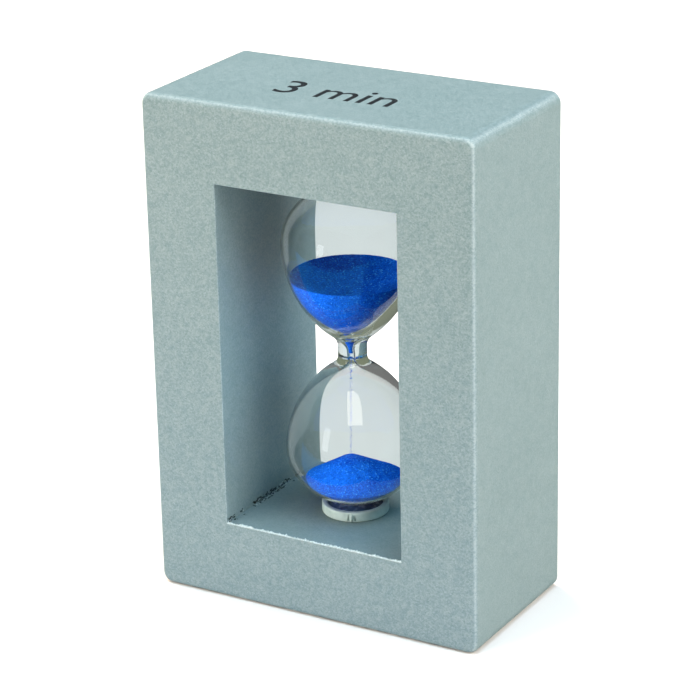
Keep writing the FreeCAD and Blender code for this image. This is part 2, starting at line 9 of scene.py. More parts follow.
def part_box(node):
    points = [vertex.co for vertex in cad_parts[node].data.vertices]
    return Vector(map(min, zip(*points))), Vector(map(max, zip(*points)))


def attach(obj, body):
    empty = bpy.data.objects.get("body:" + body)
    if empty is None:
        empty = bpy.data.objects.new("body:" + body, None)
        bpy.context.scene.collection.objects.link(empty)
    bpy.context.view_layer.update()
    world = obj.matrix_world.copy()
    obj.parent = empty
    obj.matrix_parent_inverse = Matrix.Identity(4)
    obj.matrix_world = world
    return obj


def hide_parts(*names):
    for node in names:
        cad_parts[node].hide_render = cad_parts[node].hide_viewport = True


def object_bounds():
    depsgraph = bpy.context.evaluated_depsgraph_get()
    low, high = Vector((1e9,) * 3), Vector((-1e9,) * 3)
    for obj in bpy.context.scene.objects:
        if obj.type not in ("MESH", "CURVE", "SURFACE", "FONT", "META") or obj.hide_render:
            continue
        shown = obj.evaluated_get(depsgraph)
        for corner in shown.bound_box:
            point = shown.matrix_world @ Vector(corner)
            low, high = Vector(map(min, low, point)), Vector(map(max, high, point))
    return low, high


# Looks for the packed sand timer: metallic paint on the box frame, a smooth blown vial, grainy
# blue sand, moulded seat cups with set glue, and a plain duration label on top. Metres, +Z up,
# and the front looks along -Y. Every piece stays inside the CAD model's box, apart from the
# label's ink, which stands 0.02 mm proud of the top.

MM = 0.001

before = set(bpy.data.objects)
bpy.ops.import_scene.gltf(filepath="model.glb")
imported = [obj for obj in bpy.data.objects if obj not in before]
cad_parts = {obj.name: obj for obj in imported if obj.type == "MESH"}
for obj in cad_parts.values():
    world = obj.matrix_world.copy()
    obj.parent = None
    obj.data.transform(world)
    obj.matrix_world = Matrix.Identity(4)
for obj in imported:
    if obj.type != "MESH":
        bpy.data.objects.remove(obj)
cad_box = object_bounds()
body_low, body_high = cad_box
sand_random = random.Random(3)

# Places read from the frame.
vial_low, vial_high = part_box("glass_vial")
AXIS = Vector(((vial_low.x + vial_high.x) / 2, (vial_low.y + vial_high.y) / 2, 0))
FLOOR_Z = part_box("bottom_board")[1].z
CEILING_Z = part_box("top_board")[0].z
LEFT_WALL_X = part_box("left_board")[1].x
RIGHT_WALL_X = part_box("right_board")[0].x
FRONT_Y = body_low.y
BACK_Y = body_high.y
TOP_Z = body_high.z

# The vial's sizes, as the frame's source has them, apart from the inside of the upper bulb's
# shoulder, which is 1.2 mm larger in radius here and so a little deeper. A pair is for the lower
# and the upper bulb.
LOWER, UPPER = -1, 1
BULB_RADIUS = (vial_high.x - vial_low.x) / 2
CUP_HEIGHT = 2.0 * MM
END_Z = {LOWER: FLOOR_Z + CUP_HEIGHT, UPPER: CEILING_Z - CUP_HEIGHT}
WAIST_Z = 48.9 * MM
WAIST_RADIUS = 2.8 * MM
WAIST_HALF_LENGTH = 0.9 * MM
NECK_BEND = {LOWER: 2.2 * MM, UPPER: 3.0 * MM}
WIDEST_Z = {LOWER: 28.7 * MM, UPPER: 70.7 * MM}
DOME_RADIUS = 14 * MM
WALL = 0.45 * MM
PASSAGE_RADIUS = 0.5 * MM
FUNNEL_BEND = {LOWER: 2.6 * MM, UPPER: 4.0 * MM}
INNER_SHOULDER = {LOWER: 17.5 * MM, UPPER: 21.0 * MM}
STUB_RADIUS = 2.4 * MM
STUB_ROUNDING = 0.6 * MM
FILL_BORE_RADIUS = 1.5 * MM
SAND_GAP = 0.06 * MM

# The inside of the hand-blown neck stands to the side of the axis: by how much where it does so
# most, at which height that is, and how far up and down it fades out.
NECK_LEAN = -0.5 * MM
NECK_LEAN_Z = 55.5 * MM
NECK_LEAN_SPREAD = 7.5 * MM

# The steps between points along an outline, and the points round a full turn. Two points closer
# than TOUCHING are one, and a smaller radius is on the axis.
PROFILE_STEP = 0.4 * MM
BEND_STEP = 0.12 * MM
ROUNDING_STEP = 0.1 * MM
SAND_STEP = 0.17 * MM
VIAL_SEGMENTS = 144
SAND_SEGMENTS = 360
TOUCHING = 1e-7

# The sand at this moment of the run, and its grains.
HEAP_EDGE_Z = 22.6 * MM
HEAP_TOP_Z = 27.35 * MM
HEAP_ROUNDING = 4 * MM
HEAP_LEAN = -0.85 * MM
CRATER_Z = 58.6 * MM
CRATER_ROUNDING = 1.0 * MM
STREAM_START = -0.35 * MM
STREAM_GRAINS = 340
STREAM_GRAIN_RADII = (0.045, 0.085)
GRAIN = 0.26 * MM
SAND_ROUGHNESS = 0.14 * MM


# ---------------------------------------------------------------- mesh helpers

def arc(centre, radius, start, end, step=PROFILE_STEP):
    """Points along an arc in the (radius, height) plane, about a step apart."""
    count = max(4, math.ceil(abs(end - start) * radius / step) + 1)
    return [
        (centre[0] + radius * math.cos(a), centre[1] + radius * math.sin(a))
        for a in np.linspace(start, end, count)
    ]


def straight(start, end, step=PROFILE_STEP):
    """Points along a straight run, about a step apart."""
    length = math.hypot(end[0] - start[0], end[1] - start[1])
    count = max(2, math.ceil(length / step) + 1)
    return [tuple(p) for p in np.linspace(start, end, count)]


def joined(*runs):
    """Runs of points end to end, each shared point once."""
    points = []
    for run in runs:
        for point in run:
            if not points or math.dist(point, points[-1]) > TOUCHING:
                points.append(point)
    return points


def mesh_object(name, vertices, faces, smooth=True):
    mesh = bpy.data.meshes.new(name)
    mesh.from_pydata(vertices, [], faces)
    mesh.update()
    mesh.polygons.foreach_set("use_smooth", [smooth] * len(mesh.polygons))
    made = bpy.data.objects.new(name, mesh)
    bpy.context.scene.collection.objects.link(made)
    return made


def lean_at(height):
    """How far the inside of the hand-blown neck stands to the side of the axis at a height."""
    return NECK_LEAN * math.exp(-(((height - NECK_LEAN_Z) / NECK_LEAN_SPREAD) ** 2))


def lathe(name, profile, segments, lean_from=0, lean=lean_at):
    """A full turn of a profile of (radius, height) points about the vial's axis. From point number
    lean_from on, each ring is moved sideways by what lean gives for its height. A point on the axis
    becomes one vertex."""
    vertices, rings = [], []
    for number, (radius, height) in enumerate(profile):
        x = AXIS.x + (lean(height) if number >= lean_from else 0)
        if radius < TOUCHING:
            rings.append([len(vertices)])
            vertices.append((x, AXIS.y, height))
            continue
        first = len(vertices)
        for i in range(segments):
            turn = 2 * math.pi * i / segments
            vertices.append((x + radius * math.cos(turn), AXIS.y + radius * math.sin(turn), height))
        rings.append(list(range(first, first + segments)))
    faces = []
    for low, high in zip(rings, rings[1:]):
        for i in range(segments):
            j = (i + 1) % segments
            if len(low) == 1 and len(high) == 1:
                continue
            if len(low) == 1:
                faces.append((low[0], high[j], high[i]))
            elif len(high) == 1:
                faces.append((low[i], low[j], high[0]))
            else:
                faces.append((low[i], low[j], high[j], high[i]))
    return mesh_object(name, vertices, faces)


def give(piece, material, slot_name=None, *replaced):
    """Puts a piece on the body with its material and hides the CAD nodes that it replaces. slot_name,
    its slot in the record, is not used.
    """
    piece.data.materials.clear()
    piece.data.materials.append(material)
    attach(piece, "root")
    if replaced:
        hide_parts(*replaced)
    return piece


# ---------------------------------------------------------------- material helpers

class Finish:
    """A node material around one Principled shader."""

    def __init__(self, name, **sockets):
        self.material = bpy.data.materials.new(name)
        self.material.use_nodes = True
        self.tree = self.material.node_tree
        self.shader = self.tree.nodes["Principled BSDF"]
        self.output = self.tree.nodes["Material Output"]
        for socket, value in sockets.items():
            self.shader.inputs[socket.replace("_", " ")].default_value = value
        self.place = self.node("ShaderNodeTexCoord").outputs["Object"]

    def node(self, kind, **settings):
        made = self.tree.nodes.new(kind)
        for name, value in settings.items():
            setattr(made, name, value)
        return made

    def link(self, source, target):
        self.tree.links.new(source, target)

    def noise(self, size, detail=2.0, roughness=0.5):
        """Smooth noise whose features are about size across."""
        made = self.node("ShaderNodeTexNoise")
        made.inputs["Scale"].default_value = 1 / size
        made.inputs["Detail"].default_value = detail
        made.inputs["Roughness"].default_value = roughness
        self.link(self.place, made.inputs["Vector"])
        return made.outputs["Fac"]

    def cells(self, size):
        """One random grey per cell, cells about size across."""
        made = self.node("ShaderNodeTexVoronoi")
        made.inputs["Scale"].default_value = 1 / size
        self.link(self.place, made.inputs["Vector"])
        split = self.node("ShaderNodeSeparateColor")
        self.link(made.outputs["Color"], split.inputs["Color"])
        return split.outputs["Red"]

    def bumps(self, size):
        """The distance to the nearest cell's middle, which makes round grains."""
        made = self.node("ShaderNodeTexVoronoi")
        made.inputs["Scale"].default_value = 1 / size
        self.link(self.place, made.inputs["Vector"])
        return made.outputs["Distance"]

    def math(self, operation, one, other=None, clamp=False):
        """A sum on one or two values, each a number or another node's output."""
        made = self.node("ShaderNodeMath", operation=operation, use_clamp=clamp)
        for socket, value in zip(made.inputs, (one, other)):
            if value is None:
                continue
            if isinstance(value, (int, float)):
                socket.default_value = value
            else:
                self.link(value, socket)
        return made.outputs[0]

    def remap(self, value, low, high, to_low=0.0, to_high=1.0):
        """A value taken from one range to another, and held within it."""
        made = self.node("ShaderNodeMapRange")
        self.link(value, made.inputs["Value"])
        for name, number in zip(("From Min", "From Max", "To Min", "To Max"),
                                (low, high, to_low, to_high)):
            made.inputs[name].default_value = number
        return made.outputs["Result"]

    def mix(self, factor, one, other):
        """Two colours mixed by a factor."""
        made = self.node("ShaderNodeMix", data_type="RGBA")
        for socket, value in ((made.inputs[0], factor), (made.inputs[6], one), (made.inputs[7], other)):
            if isinstance(value, (int, float)):
                socket.default_value = value
            elif isinstance(value, tuple):
                socket.default_value = (*value, 1)
            else:
                self.link(value, socket)
        return made.outputs[2]

    def bump(self, height, strength, distance):
        made = self.node("ShaderNodeBump")
        made.inputs["Strength"].default_value = strength
        made.inputs["Distance"].default_value = distance
        self.link(height, made.inputs["Height"])
        return made.outputs["Normal"]

    def set(self, socket, source):
        self.link(source, self.shader.inputs[socket])

    def reflected(self):
        """1 once the path has been mirrored anywhere, otherwise 0."""
        depth = self.node("ShaderNodeLightPath").outputs["Glossy Depth"]
        return self.math("GREATER_THAN", depth, 0.5)


def facing(finish, axis):
    """How far a face looks along X, Y or Z, either way, from 0 to 1."""
    geometry = finish.node("ShaderNodeNewGeometry")
    split = finish.node("ShaderNodeSeparateXYZ")
    finish.link(geometry.outputs["True Normal"], split.inputs[0])
    return finish.math("ABSOLUTE", split.outputs[axis])


def rounded_edges(finish):
    """1 on the slanted faces of a rounded edge, 0 on a face square to X, Y or Z."""
    largest = finish.math("MAXIMUM", facing(finish, "X"), facing(finish, "Y"))
    largest = finish.math("MAXIMUM", largest, facing(finish, "Z"))
    return finish.remap(largest, 0.91, 0.74)


# ---------------------------------------------------------------- materials

def frame_paint():
    """Silver-green metallic paint, coarse over the boards' cut front and back, finer elsewhere, and
    lighter along the rounded edges, a painted highlight."""
    paint = Finish("frame_paint", Metallic=0.2, Specular_IOR_Level=0.35)
    broad = paint.noise(22 * MM, detail=3)
    cloud = paint.noise(2.2 * MM, detail=3)
    flake = paint.cells(0.3 * MM)
    fine = paint.cells(0.18 * MM)
    cut_face = paint.remap(facing(paint, "Y"), 0.75, 0.97)
    grain = paint.math("ADD", paint.math("MULTIPLY", flake, 0.62), paint.math("MULTIPLY", fine, 0.38))
    spread = paint.remap(cut_face, 0, 1, 0.6, 0.8)
    level = paint.math("ADD", 0.5, paint.math("MULTIPLY", paint.math("SUBTRACT", grain, 0.5), spread))
    level = paint.math("ADD", level, paint.remap(cloud, 0.3, 0.7, -0.05, 0.05))
    level = paint.math("ADD", level, paint.remap(broad, 0.3, 0.7, -0.04, 0.04), clamp=True)
    colour = paint.mix(level, (0.13, 0.20, 0.197), (0.305, 0.36, 0.356))
    # Painted highlight: the rounded edges are made lighter, in flecks, towards the paler colour below.
    edge_highlight = paint.math("MULTIPLY", rounded_edges(paint), paint.remap(flake, 0, 1, 0.35, 1.0))
    paint.set("Base Color", paint.mix(edge_highlight, colour, (0.36, 0.42, 0.415)))
    paint.set("Roughness", paint.remap(flake, 0, 1, 0.36, 0.6))
    coarse = paint.noise(0.5 * MM, detail=4, roughness=0.6)
    height = paint.math("ADD", paint.math("MULTIPLY", coarse, paint.remap(cut_face, 0, 1, 0.35, 1.0)),
                        paint.math("MULTIPLY", flake, 0.25))
    paint.set("Normal", paint.bump(height, 0.55, 0.06 * MM))
    return paint.material


def ridge_highlight_paint():
    """The same paint where it has run thick, made much paler: a painted highlight."""
    paint = Finish("ridge_highlight_paint", Metallic=0.2)
    flake = paint.cells(0.2 * MM)
    # Painted highlight: a far paler mix than the frame paint.
    paint.set("Base Color", paint.mix(flake, (0.34, 0.42, 0.41), (0.68, 0.77, 0.77)))
    paint.set("Roughness", paint.remap(flake, 0, 1, 0.3, 0.5))
    paint.set("Normal", paint.bump(paint.noise(0.3 * MM, detail=3), 0.5, 0.05 * MM))
    return paint.material


# Between the last count of mirrorings that the renderer follows in full and the first that it cuts.
MOST_MIRRORINGS = 3.5


def clear_glass():
    """Slightly grey-green glass that lets the lamps through to the sand. Light that it has mirrored
    more than three times, which would end in black, ends in a dim even glow."""
    glass = Finish("clear_glass", Base_Color=(0.96, 0.98, 0.975, 1), Transmission_Weight=1.0,
                   Roughness=0.0, IOR=1.5)
    path = glass.node("ShaderNodeLightPath")
    clear = glass.node("ShaderNodeBsdfTransparent")
    clear.inputs["Color"].default_value = (0.97, 0.98, 0.975, 1)
    afterglow = glass.node("ShaderNodeEmission")
    afterglow.inputs["Color"].default_value = (0.24, 0.265, 0.205, 1)
    deep = glass.node("ShaderNodeMixShader")
    glass.link(glass.math("GREATER_THAN", path.outputs["Glossy Depth"], MOST_MIRRORINGS), deep.inputs[0])
    glass.link(glass.shader.outputs[0], deep.inputs[1])
    glass.link(afterglow.outputs[0], deep.inputs[2])
    mixed = glass.node("ShaderNodeMixShader")
    glass.link(path.outputs["Is Shadow Ray"], mixed.inputs[0])
    glass.link(deep.outputs[0], mixed.inputs[1])
    glass.link(clear.outputs[0], mixed.inputs[2])
    glass.link(mixed.outputs[0], glass.output.inputs["Surface"])
    tint = glass.node("ShaderNodeVolumeAbsorption")
    tint.inputs["Color"].default_value = (0.72, 0.78, 0.55, 1)
    tint.inputs["Density"].default_value = 25
    glass.link(tint.outputs[0], glass.output.inputs["Volume"])
    return glass.material


def blue_sand():
    """Dyed grains, each with a shade of its own."""
    sand = Finish("blue_sand", Specular_IOR_Level=0.0)
    grain = sand.cells(0.2 * MM)
    patch = sand.noise(1.6 * MM, detail=3)
    level = sand.math("ADD", sand.math("MULTIPLY", grain, 0.8), sand.remap(patch, 0.3, 0.7, -0.05, 0.25),
                      clamp=True)
    colour = sand.mix(level, (0.0, 0.045, 0.52), (0.012, 0.19, 1.0))
    bright = sand.remap(sand.cells(0.23 * MM), 0.91, 0.98)
    sand.set("Base Color", sand.mix(bright, colour, (0.05, 0.34, 1.0)))
    sand.set("Roughness", sand.remap(grain, 0, 1, 0.35, 0.8))
    sand.set("Normal", sand.bump(sand.bumps(0.2 * MM), 0.9, 0.08 * MM))
    return sand.material


def cup_plastic():
    """Pale moulded plastic with faint flow marks."""
    plastic = Finish("cup_plastic", IOR=1.49)
    flow = plastic.noise(1.5 * MM, detail=4)
    speck = plastic.noise(0.25 * MM, detail=3)
    plastic.set("Base Color", plastic.mix(plastic.remap(flow, 0.3, 0.7), (0.42, 0.54, 0.53),
                                          (0.54, 0.66, 0.65)))
    plastic.set("Roughness", plastic.remap(speck, 0.3, 0.7, 0.38, 0.55))
    plastic.set("Normal", plastic.bump(speck, 0.35, 0.05 * MM))
    return plastic.material


def set_glue():
    """Clouded set glue, coloured dark blue-grey: painted shade of the hollow under the bulb."""
    painted_shade_glue = Finish("set_glue", IOR=1.47, Subsurface_Weight=0.3, Subsurface_Scale=0.5 * MM)
    cloud = painted_shade_glue.noise(1.1 * MM, detail=4)
    # Painted shade: the dark blue-grey stands in for the shade under the bulb.
    painted_shade_glue.set("Base Color", painted_shade_glue.mix(painted_shade_glue.remap(cloud, 0.3, 0.7), (0.05, 0.08, 0.13), (0.11, 0.16, 0.24)))
    painted_shade_glue.set("Roughness", painted_shade_glue.remap(cloud, 0.3, 0.7, 0.12, 0.35))
    painted_shade_glue.set("Normal", painted_shade_glue.bump(painted_shade_glue.noise(0.6 * MM, detail=3), 0.5, 0.1 * MM))
    return painted_shade_glue.material


def stopper_rubber():
    """Dull pale rubber."""
    rubber = Finish("stopper_rubber")
    speck = rubber.noise(0.3 * MM, detail=4)
    rubber.set("Base Color", rubber.mix(rubber.remap(speck, 0.3, 0.7), (0.42, 0.40, 0.35),
                                        (0.55, 0.53, 0.47)))
    rubber.set("Roughness", rubber.remap(speck, 0.3, 0.7, 0.6, 0.8))
    rubber.set("Normal", rubber.bump(speck, 0.4, 0.05 * MM))
    return rubber.material


def dowel_wood():
    """Beech with a fine mottled grain."""
    wood = Finish("dowel_wood")
    grain = wood.noise(0.8 * MM, detail=5, roughness=0.65)
    wood.set("Base Color", wood.mix(wood.remap(grain, 0.3, 0.7), (0.42, 0.25, 0.12), (0.60, 0.40, 0.22)))
    wood.set("Roughness", wood.remap(grain, 0.3, 0.7, 0.55, 0.75))
    wood.set("Normal", wood.bump(grain, 0.4, 0.05 * MM))
    return wood.material


def joint_crack_shade():
    """Near-black painted shade for the cracks and pits in the joint, where the paint has broken away."""
    bare = Finish("joint_crack_shade", Specular_IOR_Level=0.1)
    speck = bare.noise(0.2 * MM, detail=3)
    # Painted shade: near-black, for the dark of the cracks and pits.
    bare.set("Base Color", bare.mix(bare.remap(speck, 0.3, 0.7), (0.006, 0.006, 0.007),
                                    (0.03, 0.027, 0.022)))
    bare.set("Roughness", bare.remap(speck, 0.3, 0.7, 0.8, 1.0))
    return bare.material


def label_ink():
    """Black ink, worn grey in places."""
    ink = Finish("label_ink", Specular_IOR_Level=0.2)
    wear = ink.noise(0.35 * MM, detail=4)
    ink.set("Base Color", ink.mix(ink.remap(wear, 0.35, 0.75), (0.008, 0.009, 0.010), (0.035, 0.038, 0.04)))
    ink.set("Roughness", ink.remap(wear, 0.3, 0.7, 0.4, 0.6))
    return ink.material


# ---------------------------------------------------------------- the vial

def outside_curves(side):
    """The outer arcs of one bulb from the neck to the dome, each as its centre, its radius and the
    angles that it runs between."""
    bend = NECK_BEND[side]
    bend_at = (WAIST_RADIUS + bend, WAIST_Z + side * WAIST_HALF_LENGTH)
    run, flare = side * (WIDEST_Z[side] - bend_at[1]), BULB_RADIUS - WAIST_RADIUS
    shoulder = (run**2 + flare**2) / (2 * flare) - bend
    return neck_and_shoulder(side, bend_at, bend, BULB_RADIUS, shoulder) + upper_half(side, 0)


def inside_curves(side, gap):
    """The inner arcs of one bulb, or the sand's, which keeps a gap to the glass."""
    bend, shoulder = FUNNEL_BEND[side], INNER_SHOULDER[side]
    reach = BULB_RADIUS - WALL
    bend_x = PASSAGE_RADIUS + bend
    rise = math.sqrt((shoulder + bend) ** 2 - (bend_x - reach + shoulder) ** 2)
    bend_at = (bend_x, WIDEST_Z[side] - side * rise)
    curves = neck_and_shoulder(side, bend_at, bend + gap, reach - gap, shoulder - gap)
    return curves + upper_half(side, WALL + gap)


def neck_and_shoulder(side, bend_at, bend, reach, shoulder):
    """The hollow bend out of the neck and the shoulder that it runs into."""
    shoulder_at = (reach - shoulder, WIDEST_Z[side])
    lean = math.atan2(side * (shoulder_at[1] - bend_at[1]), shoulder_at[0] - bend_at[0])
    return [(bend_at, bend, math.pi, lean), (shoulder_at, shoulder, lean - math.pi, 0)]


def upper_half(side, inset):
    """The arcs past a bulb's widest place, at an inset from the outside."""
    dome_at = (0, END_Z[side] - side * DOME_RADIUS)
    drop = side * (dome_at[1] - WIDEST_Z[side])
    widest = (DOME_RADIUS**2 - BULB_RADIUS**2 - drop**2) / (2 * (DOME_RADIUS - BULB_RADIUS))
    widest_at = (BULB_RADIUS - widest, WIDEST_Z[side])
    turn = math.atan2(side * (widest_at[1] - dome_at[1]), widest_at[0] - dome_at[0])
    return [(widest_at, widest - inset, 0, turn), (dome_at, DOME_RADIUS - inset, turn, math.pi / 2)]


def points_along(side, curves, step=PROFILE_STEP, dome_end=math.pi / 2):
    """The arcs as points. The bend has a finer step, and the dome stops at its own angle."""
    *rest, (dome_at, dome, turn, _) = curves
    steps = (BEND_STEP, step, step)
    runs = [arc(at, radius, side * start, side * end, gap)
            for (at, radius, start, end), gap in zip(rest, steps)]
    return joined(*runs, arc(dome_at, dome, side * turn, side * dome_end, step))


def glass_vial(material):
    """The vial's glass as one smooth closed surface."""
    stub_stop = math.acos(STUB_RADIUS / DOME_RADIUS)
    lower_outside = points_along(LOWER, outside_curves(LOWER), dome_end=stub_stop)
    upper_outside = points_along(UPPER, outside_curves(UPPER), dome_end=stub_stop)
    lower_inside = points_along(LOWER, inside_curves(LOWER, 0))
    upper_inside = points_along(UPPER, inside_curves(UPPER, 0), dome_end=stub_stop)
    foot = vial_low.z
    melted_at = (STUB_RADIUS - STUB_ROUNDING, foot + STUB_ROUNDING)
    stub = joined(
        straight((0, foot), (melted_at[0], foot)),
        arc(melted_at, STUB_ROUNDING, -math.pi / 2, 0, step=ROUNDING_STEP),
        straight((STUB_RADIUS, melted_at[1]), lower_outside[-1]),
    )
    rim = vial_high.z
    mouth = joined(
        straight(upper_outside[-1], (STUB_RADIUS, rim)),
        straight((STUB_RADIUS, rim), (FILL_BORE_RADIUS, rim)),
        straight((FILL_BORE_RADIUS, rim), upper_inside[-1]),
    )
    outside = joined(stub, lower_outside[::-1], upper_outside, mouth)
    inside = joined(upper_inside[::-1], lower_inside)
    inside[-1] = (0, inside[-1][1])
    vial = lathe("vial", joined(outside, inside), VIAL_SEGMENTS, lean_from=len(outside))
    return give(vial, material, "clear_glass", "glass_vial")


# ---------------------------------------------------------------- sand

def roughen(piece, depth):
    """Pushes a sand surface in by up to depth, in round grains with a slower waviness."""
    mesh = piece.data
    normals = np.empty(len(mesh.vertices) * 3)
    mesh.vertices.foreach_get("normal", normals)
    places = np.empty(len(mesh.vertices) * 3)
    mesh.vertices.foreach_get("co", places)
    normals, places = normals.reshape(-1, 3), places.reshape(-1, 3)
    for i, place in enumerate(places):
        at = Vector(place) / GRAIN
        nearest = noise.voronoi(at)[0][0]
        sink = min(1.0, nearest) * 0.75 + 0.25 * (0.5 + 0.5 * noise.noise(at * 0.35))
        places[i] -= normals[i] * depth * sink
    mesh.vertices.foreach_set("co", places.ravel())
    mesh.update()


def rounded_slope(edge, side, height, rounding):
    """The sand's open surface from its edge at the glass to a rounded heap (1) or crater (-1)."""
    centre_z = height - side * rounding
    run, rise = edge[0], edge[1] - centre_z
    touch = math.atan2(rise, run) + side * math.acos(rounding / math.hypot(run, rise))
    meeting = (rounding * math.cos(touch), centre_z + rounding * math.sin(touch))
    points = joined(
        straight(edge, meeting, SAND_STEP),
        arc((0, centre_z), rounding, touch, side * math.pi / 2, SAND_STEP),
    )
    points[-1] = (0, height)
    return points


def lower_sand(material):
    """The heap on the floor of the lower bulb, which has grown under the stream's end."""
    side = points_along(LOWER, inside_curves(LOWER, SAND_GAP), SAND_STEP)
    floor = [point for point in side if point[1] <= HEAP_EDGE_Z][::-1]
    floor[0] = (0, floor[0][1])
    top = rounded_slope(floor[-1], 1, HEAP_TOP_Z, HEAP_ROUNDING)

    def lean(height):
        return HEAP_LEAN * max(0, (height - HEAP_EDGE_Z) / (HEAP_TOP_Z - HEAP_EDGE_Z))

    heap = lathe("sand_heap", joined(floor, top), SAND_SEGMENTS, lean=lean)
    roughen(heap, SAND_ROUGHNESS)
    return give(heap, material, "blue_sand", "lower_sand")


def upper_sand(material):
    """What is left in the upper bulb, with a crater over the neck."""
    low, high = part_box("upper_sand")
    points = points_along(UPPER, inside_curves(UPPER, SAND_GAP), SAND_STEP)
    side = [point for point in points if point[1] <= high.z]
    passage = PASSAGE_RADIUS - SAND_GAP
    plug = straight((passage, low.z), side[0], SAND_STEP)
    crater = rounded_slope(side[-1], -1, CRATER_Z, CRATER_ROUNDING)
    end = straight((0, low.z), (passage, low.z), SAND_STEP)
    pile = lathe("sand_left", joined(end, plug, side, crater), SAND_SEGMENTS)
    roughen(pile, SAND_ROUGHNESS)
    return give(pile, material, "blue_sand", "upper_sand")


def grain_shape(centre, radius):
    """One rough grain: an octahedron with uneven corners, as its vertices and its faces."""
    corners = ((1, 0, 0), (0, 1, 0), (-1, 0, 0), (0, -1, 0), (0, 0, 1), (0, 0, -1))
    stretch = [sand_random.uniform(0.7, 1.0) * radius for _ in corners]
    turn = Matrix.Rotation(sand_random.uniform(0, math.pi), 3, "Z")
    vertices = [centre + turn @ (Vector(c) * s) for c, s in zip(corners, stretch)]
    faces = []
    for i in range(4):
        j = (i + 1) % 4
        faces.append((i, j, 4))
        faces.append((j, i, 5))
    return vertices, faces


def add_shape(vertices, faces, new_vertices, new_faces):
    """Adds one shape's vertices and faces to the lists of a larger mesh."""
    first = len(vertices)
    vertices += new_vertices
    faces += [tuple(first + i for i in face) for face in new_faces]


def falling_sand(material):
    """Loose grains on their way down from the neck to the heap."""
    low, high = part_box("falling_sand")
    reach = (high.x - low.x) / 2
    vertices, faces = [], []
    for _ in range(STREAM_GRAINS):
        size = sand_random.uniform(*STREAM_GRAIN_RADII) * MM
        turn = sand_random.uniform(0, 2 * math.pi)
        out = (reach - size) * math.sqrt(sand_random.random())
        z = sand_random.uniform(low.z + size, high.z - size)
        fallen = (high.z - z) / (high.z - low.z)
        x = AXIS.x + STREAM_START + (HEAP_LEAN - STREAM_START) * fallen
        centre = Vector((x + out * math.cos(turn), AXIS.y + out * math.sin(turn), z))
        add_shape(vertices, faces, *grain_shape(centre, size))
    stream = mesh_object("sand_stream", vertices, faces, smooth=False)
    return give(stream, material, "blue_sand", "falling_sand")


# ---------------------------------------------------------------- the window's corner

# A bead of paint: the step along it, its section as shares of its width and height, the lengths of
# its slow and its ragged unevenness, and how far it is let into the board.
RIDGE_STEP = 0.15 * MM
RIDGE_SECTION = ((0, 0), (0.15, 0.7), (0.5, 1.0), (0.85, 0.6), (1, 0))
SWELL_LENGTH = 2.5 * MM
RAGGED_LENGTH = 0.3 * MM
LET_IN = 0.02 * MM


def rough_ridge(name, start, end, width, height):
    """A low bead of paint from start to end on the bottom board, to the left of its line of travel.
    It swells slowly along its length and is ragged all over."""
    along = end - start
    steps = math.ceil(along.length / RIDGE_STEP)
    across = Vector((-along.y, along.x, 0)).normalized()
    vertices, faces = [], []
    for step in range(steps + 1):
        middle = start + along * (step / steps)
        swell = 0.7 + 0.5 * noise.noise(middle / SWELL_LENGTH)
        for out, up in RIDGE_SECTION:
            ragged = noise.noise((middle + across * out * MM) / RAGGED_LENGTH)
            vertices.append(middle + across * width * out * (swell + 0.5 * ragged)
                            + Vector((0, 0, up * height * max(0.15, swell + 1.1 * ragged))))
    count = len(RIDGE_SECTION)
    for step in range(steps):
        first = step * count
        for i in range(count - 1):
            faces.append((first + i, first + i + 1, first + count + i + 1, first + count + i))
        faces.append((first + count - 1, first, first + count, first + 2 * count - 1))
    faces.append(tuple(range(count))[::-1])
    faces.append(tuple(range(steps * count, (steps + 1) * count)))
    return mesh_object(name, vertices, faces)


def window_lip(material):
    """The ragged rim that the paint left along the window's lower front edge, bright with a painted
    highlight.
    """
    start = Vector((LEFT_WALL_X, FRONT_Y + LET_IN, FLOOR_Z - LET_IN))
    end = Vector((RIGHT_WALL_X, FRONT_Y + LET_IN, FLOOR_Z - LET_IN))
    lip = rough_ridge("window_lip", start, end, width=0.5 * MM, height=0.34 * MM)
    return give(lip, material, "frame_paint")


def corner_bead(material):
    """A thin bead of paint beside the joint of the left board."""
    x = LEFT_WALL_X + 0.75 * MM
    from_ends = 1 * MM
    start = Vector((x, BACK_Y - from_ends, FLOOR_Z - LET_IN))
    end = Vector((x, FRONT_Y + from_ends, FLOOR_Z - LET_IN))
    bead = rough_ridge("corner_bead", start, end, width=0.25 * MM, height=0.09 * MM)
    return give(bead, material, "frame_paint")


# Where the paint has broken along the joint: from and to along Y in millimetres, and how many chips.
CHIPPED_RUNS = ((-17.2, -14.5, 26), (-12.5, -11.5, 4), (-8.0, 3.5, 120), (3.5, 6.5, 14))
CHIP_REACH = 0.85 * MM
SHARE_ON_WALL = 0.6
SPECK_THINNING = 0.2
SPECK_LENGTHENING = 1.7


def scatter_on_joint(name, material, share, smallest, largest):
    """Flat specks along the joint of the left board, on its face and on the bottom board's. A share
    of the number in each of the chipped runs is laid."""
    vertices, faces = [], []
    for low, high, count in CHIPPED_RUNS:
        for _ in range(round(share * count)):
            size = sand_random.uniform(smallest, largest)
            y = sand_random.uniform(low, high) * MM
            off_corner = sand_random.uniform(0, CHIP_REACH)
            on_wall = sand_random.random() < SHARE_ON_WALL
            if on_wall:
                centre = Vector((LEFT_WALL_X, y, FLOOR_Z + off_corner))
                flattening = Vector((SPECK_THINNING, SPECK_LENGTHENING, 1))
            else:
                centre = Vector((LEFT_WALL_X + off_corner, y, FLOOR_Z))
                flattening = Vector((1, SPECK_LENGTHENING, SPECK_THINNING))
            corners, corner_faces = grain_shape(Vector((0, 0, 0)), size)
            add_shape(vertices, faces, [centre + corner * flattening for corner in corners], corner_faces)
    return give(mesh_object(name, vertices, faces, smooth=False), material)


